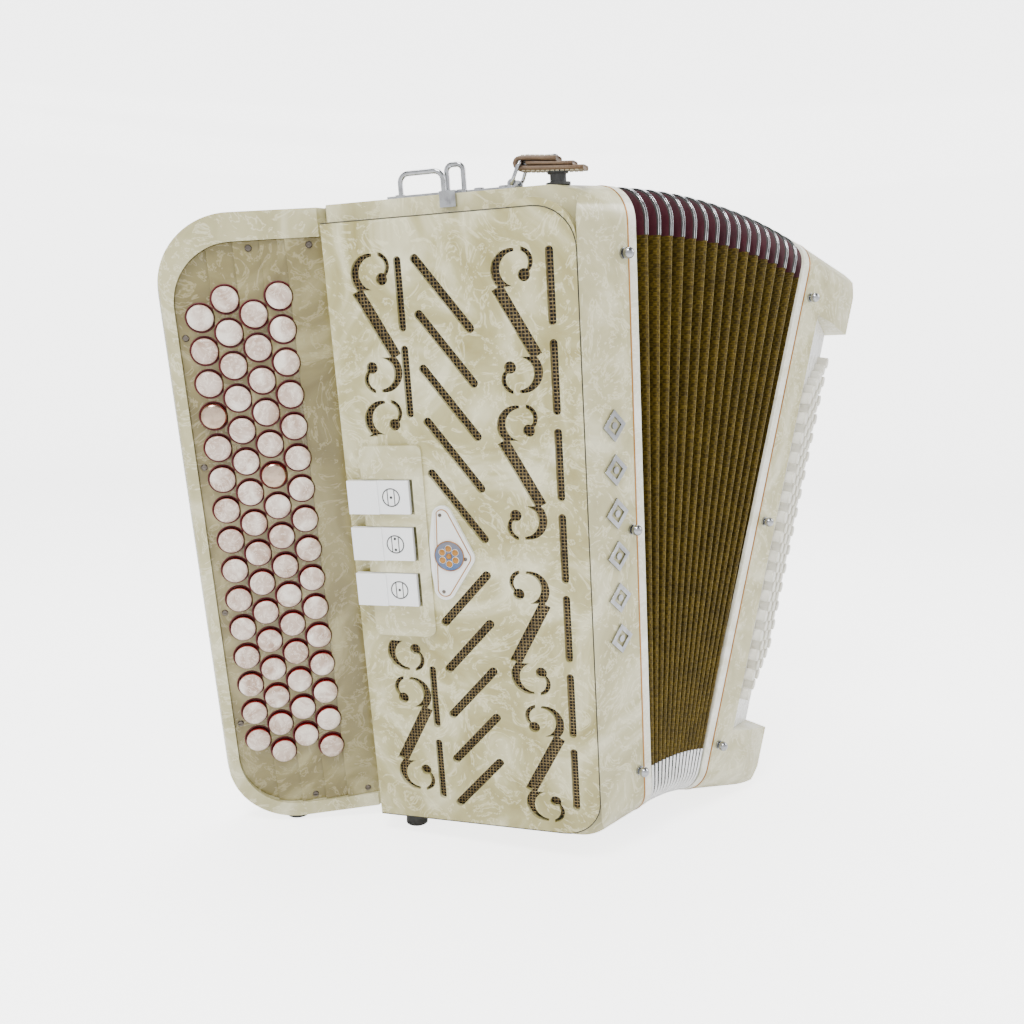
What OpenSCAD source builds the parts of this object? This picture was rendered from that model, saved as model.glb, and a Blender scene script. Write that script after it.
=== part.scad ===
// Chromatic button accordion, standing on its lower edges with the bellows
// fanned open at the top. Sizes are in millimetres.
// X runs along the bellows from the treble side to the bass side.
// The audience side faces -Y and the player's side faces +Y. Z is up.

/* [Body] */
// Height of both boxes and of the bellows
box_h = 380; // [340:1:420]
// Depth of both boxes from audience side to player's side
box_d = 198; // [180:1:220]
// Radius of the four long corners of the boxes
corner_r = 20; // [10:1:30]
// Lean of the treble box in degrees
treble_lean = 6; // [0:0.1:8]
// Thickness of the box walls
wall = 7; // [5:0.5:10]

/* [Bellows] */
// Thickness of one fold frame
fold_t = 2.6; // [2:0.1:4]
// Opening angle between two neighbouring folds in degrees
fold_angle = 1.268; // [0:0.001:2.5]
// Depth of a fold from its ridge to its inner edge
fold_depth = 24; // [18:1:30]
// Width of the wooden frame at each end of the bellows
frame_w = 6.5; // [5:0.5:10]

/* [Treble buttons] */
// Distance between two buttons of a row
button_pitch = 19; // [17:0.5:20]
// Diameter of a treble button
button_d = 15; // [13:0.5:16]
// Distance between two button rows
row_gap = 15.1; // [14:0.1:16]
// Height lost from one row to the next
row_step = 2; // [1:0.1:3]

/* [Bass buttons] */
// Distance between two bass buttons of a row
bass_pitch = 13.9; // [13:0.1:16]
// Diameter of a bass button
bass_button_d = 8; // [7:0.5:11]
// Number of buttons in a bass row
bass_columns = 16; // [12:1:20]
// Turn of the bass board from the outer face of the box towards its front
bass_board_turn = 68; // [62:1:72]

/* [Hidden] */
$fn = 48;

// audience face and player's face of the boxes
y_front = -95;
y_back = y_front + box_d;
y_mid = (y_front + y_back) / 2;
// clearance between parts that touch without being one piece
gap = 0.3;
fold_count = 15;
// extra room beside the last fold, whose box turns on its own hinge line
end_gap = 0.6;
gold_w = 1;
// height of the treble frame origin over the floor
lift = 18.5;
// middle of the standing instrument
origin_x = 0.0;
origin_y = -3.6;
// pitch of the closed bellows
closed_pitch = fold_t + gap;
bellows_closed = 2 * frame_w + fold_count * closed_pitch + gap + end_gap;

// place of a hinge line of the closed bellows
function hinge_x(k) = frame_w + gap / 2 + (k - 1) * closed_pitch;

// treble box frame
module in_treble() {
    translate([origin_x, origin_y, lift])
        rotate([0, -treble_lean, 0])
            children();
}

// frame that follows k bellows hinges
module after_hinge(k) {
    if (k <= 0)
        children();
    else
        after_hinge(k - 1)
            translate([hinge_x(k), 0, 0])
                rotate([0, fold_angle, 0])
                    translate([-hinge_x(k), 0, 0])
                        children();
}

// bass box frame, zero at its gold line
module in_bass() {
    in_treble()
        after_hinge(fold_count + 1)
            translate([bellows_closed, 0, 0])
                children();
}

// rounded rectangle from two opposite corners
module round_box_2d(a0, b0, a1, b1, r) {
    translate([a0 + r, b0])
        square([a1 - a0 - 2 * r, b1 - b0]);
    translate([a0, b0 + r])
        square([a1 - a0, b1 - b0 - 2 * r]);
    translate([a0 + r, b0 + r]) circle(r);
    translate([a1 - r, b0 + r]) circle(r);
    translate([a0 + r, b1 - r]) circle(r);
    translate([a1 - r, b1 - r]) circle(r);
}

// extrusion of a Y-Z outline along X
module along_x(x0, x1) {
    translate([x0, 0, 0])
        rotate([90, 0, 90])
            linear_extrude(x1 - x0)
                children();
}

// extrusion of an X-Z outline along Y
module along_y(y0, y1) {
    translate([0, y1, 0])
        rotate([90, 0, 0])
            linear_extrude(y1 - y0)
                children();
}

// outline of a box section, drawn in by a margin
module box_section(m) {
    round_box_2d(y_front + m, m, y_back - m, box_h - m, max(corner_r - m, 2));
}

// frame with a rectangular opening
module section_ring(x0, x1, m, depth) {
    difference() {
        along_x(x0, x1) box_section(m);
        along_x(x0 - 1, x1 + 1)
            round_box_2d(y_front + depth, depth, y_back - depth, box_h - depth, 4);
    }
}

// ---------- grille frame of reference ----------
// seam between the name panel and the grille
seam_x = -40;
grille_turn = -58.4;
grille_w = 144;
grille_t = 10;
grille_skin = 2.6;
module on_grille() {
    translate([seam_x, y_front, 0])
        rotate([0, 0, grille_turn])
            children();
}

// ---------- fingerboard frame of reference ----------
// origin on the tops of the innermost button row
board_turn = -28.4;
board_left = -67;
plate_left = -58.8;
plate_right = 26;
plate_low = 9;
plate_high = 364;
module on_board() {
    translate([-128.8, 57.7, 0])
        rotate([0, 0, board_turn])
            children();
}

// places of the top hardware along the grille edge
bracket_x = -85;
strap_x = -50;
stud_x = -13;
hardware_y = 20;

// ---------- treble box ----------
// ends of the slanted wall under the grille
cell_a = [-31.5, -89.8];
cell_b = [-106.9, 32.8];
cell_c = [-97, 50];

module treble_plan() {
    polygon([
        [-gold_w, y_front],
        [seam_x, y_front],
        cell_a,
        cell_b,
        cell_c,
        [-97, y_back],
        [-gold_w, y_back]
    ]);
}

module treble_inner_plan() {
    polygon([
        [0, y_front + wall],
        [-29, y_front + wall],
        [-99, 28],
        [-90, 46],
        [-90, y_back - wall],
        [0, y_back - wall]
    ]);
}

module treble_casing() {
    color("ivory")
        in_treble()
            difference() {
                intersection() {
                    linear_extrude(box_h) treble_plan();
                    along_x(-120, 0) box_section(0);
                }
                intersection() {
                    translate([0, 0, wall])
                        linear_extrude(box_h - 2 * wall)
                            treble_inner_plan();
                    along_x(-120, 1) box_section(wall);
                }
                // sound windows under the grille
                on_grille()
                    for (k = [0:3])
                        translate([-118, 5, 26 + k * 84])
                            cube([100, 30, 72]);
                // opening for the button mechanism
                translate([-101, 57, 24])
                    cube([20, 28, box_h - 48]);
                // sockets for the bellows pins
                for (z = [36.5, box_h / 2, box_h - 36.5])
                    translate([-5, y_front - 1, z])
                        rotate([-90, 0, 0])
                            cylinder(h = 7, d = 3.6);
                // sockets for the screws of the bracket and of the strap plate
                on_grille()
                    for (x = [bracket_x - 18, bracket_x + 18, strap_x - 7, strap_x + 7])
                        translate([x, hardware_y, box_h - 5])
                            cylinder(h = 6, d = 3.2);
                on_grille()
                    translate([stud_x, hardware_y, box_h - 5])
                        cylinder(h = 6, d = 3.6);
            }
}

module treble_gold_line() {
    color("goldenrod")
        in_treble()
            section_ring(-gold_w, 0, -0.3, wall);
}

module treble_bellows_frame() {
    color("floralwhite")
        in_treble()
            section_ring(0, frame_w, 0, fold_depth);
}

module treble_soundboard() {
    color("burlywood")
        in_treble()
            difference() {
                along_x(-9, -1) box_section(wall + 0.3);
                // air slots under the reed blocks
                for (y = [-52, -8, 36])
                    for (k = [0:9])
                        translate([-10, y, 32 + k * 33])
                            cube([10, 22, 10]);
            }
}

module treble_reed_blocks() {
    color("sandybrown")
        in_treble()
            for (y = [-50, -6, 38])
                difference() {
                    translate([-0.8, y, 26])
                        cube([frame_w - 1, 18, box_h - 52]);
                    for (k = [0:9])
                        translate([-1, y + 4, 33 + k * 33])
                            cube([frame_w, 10, 8]);
                }
}

// ---------- grille ----------
module slot(x, z, len, w, turn) {
    translate([x, z])
        rotate(turn) {
            translate([-w / 2, -len / 2 + w / 2])
                square([w, len - w]);
            translate([0, len / 2 - w / 2]) circle(w / 2);
            translate([0, -len / 2 + w / 2]) circle(w / 2);
        }
}

// half scroll: a stem, a tapering hook and a dot with its tail
module half_scroll() {
    rotate(28.5)
        translate([-3.5, -0.1])
            square([7, 21]);
    translate([-1.5, 26.5])
        difference() {
            circle(11.5);
            translate([2.6, 0.8]) circle(9);
            translate([2, -30]) square([40, 80]);
            translate([-30, -40]) square([60, 32]);
        }
    translate([5.3, 24]) circle(3.4);
    translate([3.2, 31])
        difference() {
            circle(7.4);
            translate([-1.4, -0.4]) circle(6.2);
            translate([-40, -30]) square([41, 80]);
        }
}

module scroll() {
    half_scroll();
    rotate(180) half_scroll();
}

module grille_cuts() {
    // slots beside the seam
    for (k = [0:6])
        slot(-15, 42.9 + k * 47.7, 40.5, 4.4, 0);
    // slots beside the fingerboard
    for (z = [41.8, 90.3, 281.5, 329.4])
        slot(-100.2, z, 40.3, 4.4, 0);
    // leaning slots
    for (k = [0:4]) {
        slot(-75.6, 328.4 - k * 29.6, 53, 5.2, 37);
        slot(-75.4, 35 + k * 29.8, 46, 5.2, -43);
    }
    // scrolls beside the seam
    translate([-34.5, 311.5]) scroll();
    translate([-36.5, 229]) scroll();
    translate([-37.5, 134.5]) mirror([0, 1]) scroll();
    translate([-33, 51.5]) mirror([0, 1]) scroll();
    // scrolls beside the fingerboard
    translate([-115.5, 314]) scroll();
    translate([-115.5, 64.5]) mirror([0, 1]) scroll();
    // ends of scrolls that run under the register block
    difference() {
        translate([-115.5, 233.5]) half_scroll();
        translate([-150, 200]) square([60, 51]);
    }
    difference() {
        translate([-115.5, 145]) mirror([0, 1]) half_scroll();
        translate([-150, 126]) square([60, 40]);
    }
}

module grille_outline(m) {
    difference() {
        union() {
            translate([-grille_w + m, 6 + m])
                square([grille_w - 24 - m, 364 - 2 * m]);
            translate([-30, 26 + m])
                square([30 - m, 344 - 20 - 2 * m]);
            translate([-24, 350]) circle(24 - m);
            translate([-24, 6 + 24]) circle(24 - m);
            translate([-30, 300]) square([6, 70 - m]);
        }
        translate([-24, 374 - m]) square([40, 30]);
    }
}

module treble_grille() {
    color("ivory")
        in_treble()
            on_grille()
                difference() {
                    along_y(0.1, grille_t - 0.1) grille_outline(0.2);
                    along_y(grille_skin, grille_t + 1) grille_outline(4);
                    along_y(-1, grille_t) grille_cuts();
                    // seat for the register block and its switches
                    translate([-129, -1, 138])
                        cube([32, 8, 100]);
                    // screw sockets of the emblem
                    for (p = emblem_screws)
                        translate([p[0], -1, p[1]])
                            rotate([-90, 0, 0])
                                cylinder(h = 5, d = 1.8);
                }
}

module grille_mesh() {
    color("dimgray")
        in_treble()
            on_grille()
                difference() {
                    translate([-138, grille_skin + 0.1, 16])
                        cube([128, 0.8, 340]);
                    translate([-131, 0, 136])
                        cube([36, 8, 104]);
                }
}

// ---------- register switches ----------
module register_block() {
    color("ivory")
        in_treble()
            on_grille()
                difference() {
                    union() {
                        along_y(-4, 0)
                            round_box_2d(-132.5, 131, -95.2, 246, 4);
                        translate([-128.7, 0, 138.3])
                            cube([31.4, 5, 99.4]);
                    }
                    // sloping shoulder beside the emblem
                    linear_extrude(box_h)
                        polygon([[-102, -4.1], [-95, -4.1], [-95, -1.4]]);
                    // wells of the three switches
                    for (k = [0:2])
                        translate([-134, -5, 150 + k * 28])
                            cube([33, 8.8, 20.6]);
                    for (k = [0:2])
                        translate([-128, 1, 150 + k * 28])
                            cube([26, 3, 20.6]);
                    // axle hole
                    translate([-114, -0.5, 146])
                        cylinder(h = 78, d = 2.4);
                }
}

module register_switch(k) {
    translate([0, 0, 150.4 + k * 28])
        difference() {
            union() {
                // rocker plate
                translate([-126, -5.4, 0])
                    cube([23, 2.6, 19.8]);
                // raised finger tab over the edge of the grille
                translate([-141, -6.4, 0])
                    cube([19, 3.6, 19.8]);
                // hub around the axle
                translate([-114, -0.5, 0])
                    cylinder(h = 19.8, d = 5);
                translate([-115.4, -4, 0])
                    cube([2.8, 3.4, 19.8]);
            }
            translate([-114, -0.5, -1])
                cylinder(h = 22, d = 2);
            // engraved ring with two upright bars
            translate([-114.2, -6, 9.9])
                rotate([-90, 0, 0])
                    difference() {
                        cylinder(h = 0.9, d = 11);
                        translate([0, 0, -1]) cylinder(h = 3, d = 9.8);
                    }
            for (s = [-1, 1])
                translate([-114.2 + s * 2.1 - 0.3, -6, 5.3])
                    cube([0.6, 0.9, 9.2]);
            // engraved dots: two on the middle switch, one on the others
            for (z = k == 1 ? [6.6, 13.2] : [9.9])
                translate([-114.2, -6, z])
                    rotate([-90, 0, 0])
                        cylinder(h = 0.9, d = 1.4);
        }
}

module register_switch_1() {
    color("white") in_treble() on_grille() register_switch(2);
}

module register_switch_2() {
    color("white") in_treble() on_grille() register_switch(1);
}

module register_switch_3() {
    color("white") in_treble() on_grille() register_switch(0);
}

// ---------- emblem and ornaments ----------
emblem_disc = [-82.6, 181];
emblem_screws = [[-86.6, 205.2], [-73, 179.2], [-87.8, 159]];
module emblem_plate() {
    color("white")
        in_treble()
            on_grille()
                difference() {
                    union() {
                        along_y(-1.8, 0.05) {
                            translate([-85.3, 204.6]) circle(6.2);
                            translate([-74, 180]) circle(6.6);
                            translate([-87, 160.5]) circle(6.6);
                            polygon([
                                [-91.4, 205.4], [-94.3, 190], [-94.5, 172],
                                [-93.5, 161], [-87, 156], [-81.4, 157.1],
                                [-68.5, 176.4], [-68.1, 182.9], [-79.8, 207.4],
                                [-85.3, 209]
                            ]);
                        }
                        // raised disc
                        along_y(-2.4, -1.6)
                            translate(emblem_disc) circle(9);
                        // star-like boss of six petals
                        for (a = [0:60:300])
                            along_y(-3, -2)
                                translate(emblem_disc)
                                    rotate(a)
                                        translate([0, 4.6]) circle(2.1);
                    }
                    for (p = emblem_screws)
                        translate([p[0], -2.6, p[1]])
                            rotate([-90, 0, 0])
                                cylinder(h = 4, d = 1.8);
                }
}

module panel_ornaments() {
    color("silver")
        in_treble()
            for (k = [0:5])
                translate([-17.5, y_front - 1.3, 127 + k * 25]) {
                    rotate([-90, 45, 0])
                        difference() {
                            translate([-6.4, -6.4, 0])
                                cube([12.8, 12.8, 1.2]);
                            translate([-3.8, -3.8, -1])
                                cube([7.6, 7.6, 4]);
                        }
                    rotate([-90, 0, 0]) cylinder(h = 1.2, d = 4);
                }
}

// ---------- fingerboard ----------
module board_outline(left, low, high, r) {
    translate([left + r, low])
        square([70 - left - r, high - low]);
    translate([left, low + r])
        square([70 - left, high - low - 2 * r]);
    translate([left + r, low + r]) circle(r);
    translate([left + r, high - r]) circle(r);
}

// cuts away what lies inside the box wall
module keep_outside_box() {
    difference() {
        children();
        translate([-97 - gap / 3, -200, -10])
            cube([200, 400, box_h + 20]);
    }
}

module fingerboard_housing() {
    color("ivory")
        in_treble()
            difference() {
                intersection() {
                    on_board()
                        translate([0, 0, -1])
                            linear_extrude(box_h + 2)
                                polygon([
                                    [board_left, 15], [board_left + 1.2, 11.5],
                                    [board_left + 4, 9.6], [plate_left, 8.6], [60, -2],
                                    [60, 90], [0, 90], [board_left + 5, 26],
                                    [board_left + 1, 22]
                                ]);
                    on_board()
                        along_y(-30, 110)
                            board_outline(board_left, 0, box_h, 44);
                    // flush with the side and the back of the box
                    translate([0, 0, -2])
                        linear_extrude(box_h + 4)
                            polygon([
                                [-230, 61], [-112, 43], [-97.1, 50.4],
                                [-97.1, y_back], [-165, y_back + 6], [-230, y_back + 6]
                            ]);
                }
                // seat of the button plate
                on_board()
                    along_y(-30, 18)
                        board_outline(plate_left - 0.1, plate_low - 0.1, plate_high + 0.1, 36);
                // room for the mechanism, open to the box
                translate([0, 0, 26])
                    linear_extrude(box_h - 52)
                        polygon([
                            [-169, 98], [-166, 88], [-96, 60], [-96, 86], [-150, 97]
                        ]);
            }
}

// place of a button row: 0 is the innermost row
function row_x(r) = -r * row_gap;
function row_y(r) = r * row_step;
function row_count(r) = (r == 0 || r == 2) ? 16 : 15;
function row_low(r) = box_h / 2 - (row_count(r) - 1) * button_pitch / 2;

module fingerboard_plate() {
    color("ivory")
        in_treble()
            difference() {
                intersection() {
                    on_board()
                        translate([0, 0, 1])
                            linear_extrude(box_h - 2)
                                polygon([
                                    [plate_left, 11.2], [row_x(2.5), 11.2],
                                    [row_x(2.5), 9.1], [row_x(1.5), 9.1],
                                    [row_x(1.5), 7.1], [row_x(0.5), 7.1],
                                    [row_x(0.5), 5], [row_x(-0.43), 5],
                                    [row_x(-0.43), 3], [60, 3], [60, 16],
                                    [plate_left, 16]
                                ]);
                    on_board()
                        along_y(-30, 40)
                            board_outline(plate_left, plate_low, plate_high, 35.8);
                    translate([0, 0, -1])
                        linear_extrude(box_h + 2)
                            polygon([
                                [-230, 60], [-112, 42], [-97.2, 50.6],
                                [-97.2, 130], [-230, 130]
                            ]);
                }
                on_board()
                    for (r = [0:3])
                        for (k = [0:row_count(r) - 1])
                            translate([row_x(r), -5, row_low(r) + k * button_pitch])
                                rotate([-90, 0, 0])
                                    cylinder(h = 30, d = button_d + 0.8);
            }
}

function screw_places() = [
    [-14, 360, 4.9], [20, 360, 0.9], [-55, 312, 9.1], [-55, 236, 9.1],
    [-55, 144, 9.1], [-55, 69, 9.1], [-14, 13, 4.9], [20, 13, 0.9]
];

module fingerboard_screws() {
    color("dimgray")
        in_treble()
            on_board()
                for (p = screw_places())
                    translate([p[0], p[2] + 2.08 - (p[0] < -30 ? 0.08 : 0), p[1]])
                        rotate([90, 0, 0])
                            difference() {
                                cylinder(h = 0.9, d1 = 4, d2 = 3);
                                translate([-3, -0.35, 0.45]) cube([6, 0.7, 1]);
                            }
}

module treble_button(h) {
    // domed cap over a straight body
    rotate([-90, 0, 0]) {
        cylinder(h = 0.8, d1 = button_d - 3, d2 = button_d - 0.6);
        translate([0, 0, 0.8])
            cylinder(h = 0.7, d1 = button_d - 0.6, d2 = button_d);
        translate([0, 0, 1.5])
            cylinder(h = h - 1.5, d = button_d);
    }
}

// marked buttons are drawn on their own
module button_row(r, skip, only) {
    on_board()
        for (k = [0:row_count(r) - 1])
            if (k != skip && (only < 0 || k == only))
                translate([row_x(r), row_y(r), row_low(r) + k * button_pitch])
                    treble_button(13.4 - row_y(r));
}

module treble_buttons_a() {
    color("mistyrose") in_treble() button_row(3, 11, -1);
}

module treble_buttons_b() {
    color("mistyrose") in_treble() button_row(2, -1, -1);
}

module treble_buttons_c() {
    color("mistyrose") in_treble() button_row(1, 9, -1);
}

module treble_buttons_d() {
    color("mistyrose") in_treble() button_row(0, -1, -1);
}

module reference_button_a() {
    color("lightpink") in_treble() button_row(3, -1, 11);
}

module reference_button_c() {
    color("lightpink") in_treble() button_row(1, -1, 9);
}

// ---------- pins, bracket, strap ----------
module bellows_pin() {
    rotate([90, 0, 0]) {
        translate([0, 0, -4]) cylinder(h = 4, d = 3.5);
        cylinder(h = 1.2, d = 6);
        translate([0, 0, 1]) cylinder(h = 1, d = 3.5);
        translate([0, 0, 3.8]) sphere(d = 6.4);
    }
}

module treble_pins() {
    color("silver")
        in_treble()
            for (z = [36.5, box_h / 2, box_h - 36.5])
                translate([-5, y_front - 0.02, z])
                    bellows_pin();
}

module wire_loop(w, h, d, r) {
    for (s = [-1, 1])
        translate([s * w / 2, 0, 0]) cylinder(h = h - r, d = d);
    translate([-w / 2 + r, 0, h])
        rotate([0, 90, 0]) cylinder(h = w - 2 * r, d = d);
    for (s = [0, 1])
        mirror([s, 0, 0])
            translate([w / 2 - r, 0, h - r])
                rotate([90, 0, 0])
                    rotate_extrude(angle = 90)
                        translate([r, 0]) circle(d / 2);
}

module strap_bracket() {
    color("silver")
        in_treble()
            on_grille()
                translate([bracket_x, hardware_y, box_h]) {
                    difference() {
                        translate([-23, -7, 0.05])
                            cube([46, 14, 1.4]);
                        for (x = [-18, 18])
                            translate([x, 0, -1]) cylinder(h = 4, d = 3.2);
                    }
                    translate([-3.5, -3.5, 1.4])
                        wire_loop(25, 11.5, 2.8, 5);
                    translate([14, 2.5, 1.4])
                        wire_loop(9.5, 14.5, 2.8, 3.4);
                    // lip over the edge of the box
                    translate([9.5, -12.85, -7]) cube([9, 2.7, 8.45]);
                    translate([9.5, -12.85, 0.05]) cube([9, 7, 1.4]);
                    // screws
                    for (x = [-18, 18])
                        translate([x, 0, -4]) {
                            cylinder(h = 5.4, d = 3.1);
                            translate([0, 0, 5.45]) cylinder(h = 1, d = 5.4);
                        }
                }
}

module bellows_strap_plate() {
    color("silver")
        in_treble()
            on_grille()
                translate([strap_x, hardware_y, box_h]) {
                    difference() {
                        translate([-11.6, -7, 0.05]) cube([24.6, 14, 1.2]);
                        for (x = [-7, 7])
                            translate([x, 0, -1]) cylinder(h = 4, d = 3.2);
                    }
                    for (x = [-7, 7])
                        translate([x, 0, -4]) {
                            cylinder(h = 5.4, d = 3.1);
                            translate([0, 0, 5.25]) cylinder(h = 1.2, d = 5.4);
                        }
                    // eyes that carry the strap ring
                    for (s = [-5.6, 5.6])
                        translate([13.4, s, 2.4])
                            rotate([90, 0, 0])
                                difference() {
                                    translate([0, 0, -1.2]) cylinder(h = 2.4, d = 5);
                                    translate([0, 0, -3]) cylinder(h = 6, d = 2.4);
                                }
                }
}

module bellows_strap() {
    color("saddlebrown")
        in_treble()
            on_grille()
                translate([strap_x + 13.4, hardware_y, box_h + 2.4]) {
                    // ring turning in the two eyes
                    translate([0, -8.6, 0])
                        rotate([-90, 0, 0]) cylinder(h = 17.2, d = 2);
                    for (s = [-9.4, 7.4])
                        rotate([0, 30, 0])
                            translate([-1.2, s, -1.2]) cube([2.4, 2, 11]);
                    // leather folded around the ring
                    translate([5.5, -7.6, 9.6])
                        rotate([-90, 0, 0]) cylinder(h = 15.2, d = 6.6);
                    // tongue lying back over its snap
                    translate([5.5, -7, 6.4])
                        rotate([0, 2.4, 0]) cube([34, 14, 3.3]);
                    translate([5.5, -7, 9.5])
                        rotate([0, 2.4, 0]) cube([20, 14, 3.2]);
                    // snap cup
                    translate([23.6, 0, 4.2]) cylinder(h = 3.2, d = 11);
                }
}

module bellows_strap_stud() {
    color("black")
        in_treble()
            on_grille()
                translate([stud_x, hardware_y, box_h]) {
                    translate([0, 0, -4]) cylinder(h = 4.5, d = 3.5);
                    translate([0, 0, 0.05]) cylinder(h = 1.4, d = 13);
                    translate([0, 0, 1.4]) cylinder(h = 4.4, d = 8.6);
                }
}

module treble_feet() {
    color("black")
        difference() {
            for (p = [[-90, 24], [-144, 84]])
                translate([p[0] + origin_x, p[1] + origin_y, 0])
                    cylinder(h = 30, d = 14);
            in_treble()
                translate([-250, -200, 0])
                    cube([400, 400, 100]);
        }
}

// ---------- bellows folds ----------
module bellows_fold(k) {
    color(k % 2 == 0 ? "olive" : "darkkhaki")
        in_treble()
            after_hinge(k)
                section_ring(hinge_x(k) + gap / 2, hinge_x(k + 1) - gap / 2, 0.6, fold_depth);
}

// ---------- bass box ----------
bass_thick = 74;
bass_round = 28;
board_low = 46;
board_high = 336;
board_x = 22;
board_inset = 5;
bass_board_len = 54;
board_end_y = y_front + board_inset + bass_board_len * cos(bass_board_turn);

module bass_plan_end() {
    polygon([
        [gold_w, y_front],
        [44, y_front],
        [52, y_front + 2.5],
        [bass_thick - 2, y_front + 5],
        [bass_thick, y_front + 20],
        [bass_thick, y_back],
        [gold_w, y_back]
    ]);
}

module bass_plan_recess() {
    polygon([
        [board_x, y_front - 1],
        [board_x, y_front + board_inset],
        [board_x + bass_board_len * sin(bass_board_turn), board_end_y],
        [bass_thick + 1, board_end_y],
        [bass_thick + 1, y_front - 1]
    ]);
}

module bass_casing() {
    color("ivory")
        in_bass()
            difference() {
                intersection() {
                    linear_extrude(box_h) bass_plan_end();
                    along_x(0, bass_thick + 1) box_section(0);
                    // outer edge rounded at top and bottom
                    along_y(y_front - 1, y_back + 1)
                        round_box_2d(-60, 0, bass_thick, box_h, bass_round);
                }
                // recess for the buttons
                translate([0, 0, board_low])
                    linear_extrude(board_high - board_low)
                        bass_plan_recess();
                // inner room
                translate([0, y_front + wall, wall + 2])
                    cube([14, box_d - 2 * wall, box_h - 2 * wall - 4]);
                translate([0, y_front + 97, 26])
                    cube([bass_thick - wall, box_d - 97 - wall, box_h - 52]);
                // opening behind the button board
                on_bass_board()
                    translate([-13, 1, board_low + 8])
                        cube([13.2, bass_board_len - 1.4, board_high - board_low - 16]);
                // sockets for the pins
                for (z = [36.5, box_h / 2, box_h - 36.5])
                    translate([7.5, y_front - 1, z])
                        rotate([-90, 0, 0])
                            cylinder(h = 5.2, d = 3.6);
                // air button hole
                translate([bass_thick - 14, y_front + 108, box_h - 78])
                    rotate([0, 90, 0])
                        cylinder(h = 20, d = 12.8);
                // socket of the strap wheel axle
                translate([30, y_back - 40, box_h - 30])
                    cylinder(h = 40, d = 6.4);
                // seats of the hand strap ends
                for (z = [40, box_h - 50])
                    translate([bass_thick - 5, y_back - 70.2, z - 0.2])
                        cube([6, 50.4, 10.4]);
            }
}

module bass_gold_line() {
    color("goldenrod")
        in_bass()
            section_ring(0, gold_w, -0.3, wall);
}

module bass_bellows_frame() {
    color("floralwhite")
        in_bass()
            section_ring(-frame_w, 0, 0, fold_depth);
}

// frame of the button board, local X points out of the board
module on_bass_board() {
    translate([board_x, y_front + board_inset, 0])
        rotate([0, 0, -bass_board_turn])
            children();
}

bass_row_gap = 8.5;
function bass_row_y(r) = 6 + (r - 1) * bass_row_gap;
function bass_row_z(r) = 71 + (r - 1) * bass_pitch / 2;

module bass_button_board() {
    color("white")
        in_bass()
            on_bass_board()
                difference() {
                    union() {
                        translate([0.05, 0.1, board_low + 0.1])
                            cube([3, bass_board_len - 0.4, board_high - board_low - 0.2]);
                        // raised edge strip
                        translate([0.05, 0.1, board_low + 0.1])
                            cube([3.8, 1.6, board_high - board_low - 0.2]);
                    }
                    for (r = [1:6])
                        for (k = [0:bass_columns - 1])
                            translate([-2, bass_row_y(r), bass_row_z(r) + k * bass_pitch])
                                rotate([0, 90, 0])
                                    cylinder(h = 8, d = bass_button_d + 0.8);
                }
}

module bass_button_row(r) {
    color("snow")
        in_bass()
            on_bass_board()
                for (k = [0:bass_columns - 1])
                    translate([-6, bass_row_y(r), bass_row_z(r) + k * bass_pitch])
                        rotate([0, 90, 0]) {
                            cylinder(h = 15.4, d = bass_button_d);
                            translate([0, 0, 15.4])
                                cylinder(h = 0.8, d1 = bass_button_d, d2 = bass_button_d - 2);
                        }
}

module bass_pins() {
    color("silver")
        in_bass()
            for (z = [36.5, box_h / 2, box_h - 36.5])
                translate([7.5, y_front - 0.02, z])
                    bellows_pin();
}

module bass_reed_blocks() {
    color("burlywood")
        in_bass() {
            difference() {
                translate([1.4, y_front + wall + 0.4, wall + 2.4])
                    cube([5, box_d - 2 * wall - 0.8, box_h - 2 * wall - 4.8]);
                for (y = [-60, -14, 32])
                    for (k = [0:7])
                        translate([0, y, 34 + k * 40])
                            cube([8, 24, 12]);
            }
            // valve bank behind the board
            translate([9, y_front + 104, 40])
                cube([34, 30, box_h - 80]);
        }
}

module hand_strap() {
    color("saddlebrown")
        in_bass() {
            intersection() {
                translate([bass_thick + 22 - 460, y_back - 70, box_h / 2])
                    rotate([-90, 0, 0])
                        difference() {
                            cylinder(h = 50, r = 460);
                            translate([0, 0, -1]) cylinder(h = 52, r = 456.5);
                        }
                translate([bass_thick + 0.1, y_back - 80, 46])
                    cube([60, 80, box_h - 92]);
            }
            // ends held in the box wall
            for (z = [40, box_h - 50])
                translate([bass_thick - 4.8, y_back - 70, z])
                    cube([7, 50, 10]);
            // end pads of the leather
            for (z = [40, box_h - 62])
                translate([bass_thick + 0.1, y_back - 70, z])
                    cube([2.6, 50, 22]);
        }
}

module strap_wheel() {
    color("silver")
        in_bass()
            translate([30, y_back - 40, box_h]) {
                translate([0, 0, -24]) cylinder(h = 25, d = 5.8);
                difference() {
                    translate([0, 0, 0.4]) cylinder(h = 7, d = 18);
                    for (a = [0:24:359])
                        rotate(a)
                            translate([9.6, 0, -1]) cylinder(h = 12, d = 2);
                }
            }
}

module air_button() {
    color("white")
        in_bass()
            translate([bass_thick - 9, y_front + 108, box_h - 78])
                rotate([0, 90, 0]) {
                    cylinder(h = 16, d = 12);
                    translate([0, 0, 16]) cylinder(h = 1, d1 = 12, d2 = 10);
                }
}

module bass_feet() {
    color("black")
        difference() {
            for (p = [[100, -52], [100, 76]])
                translate([p[0] + origin_x, p[1] + origin_y, 0])
                    cylinder(h = 30, d = 14);
            in_bass()
                translate([-100, -200, 0])
                    cube([400, 400, 100]);
        }
}

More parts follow.
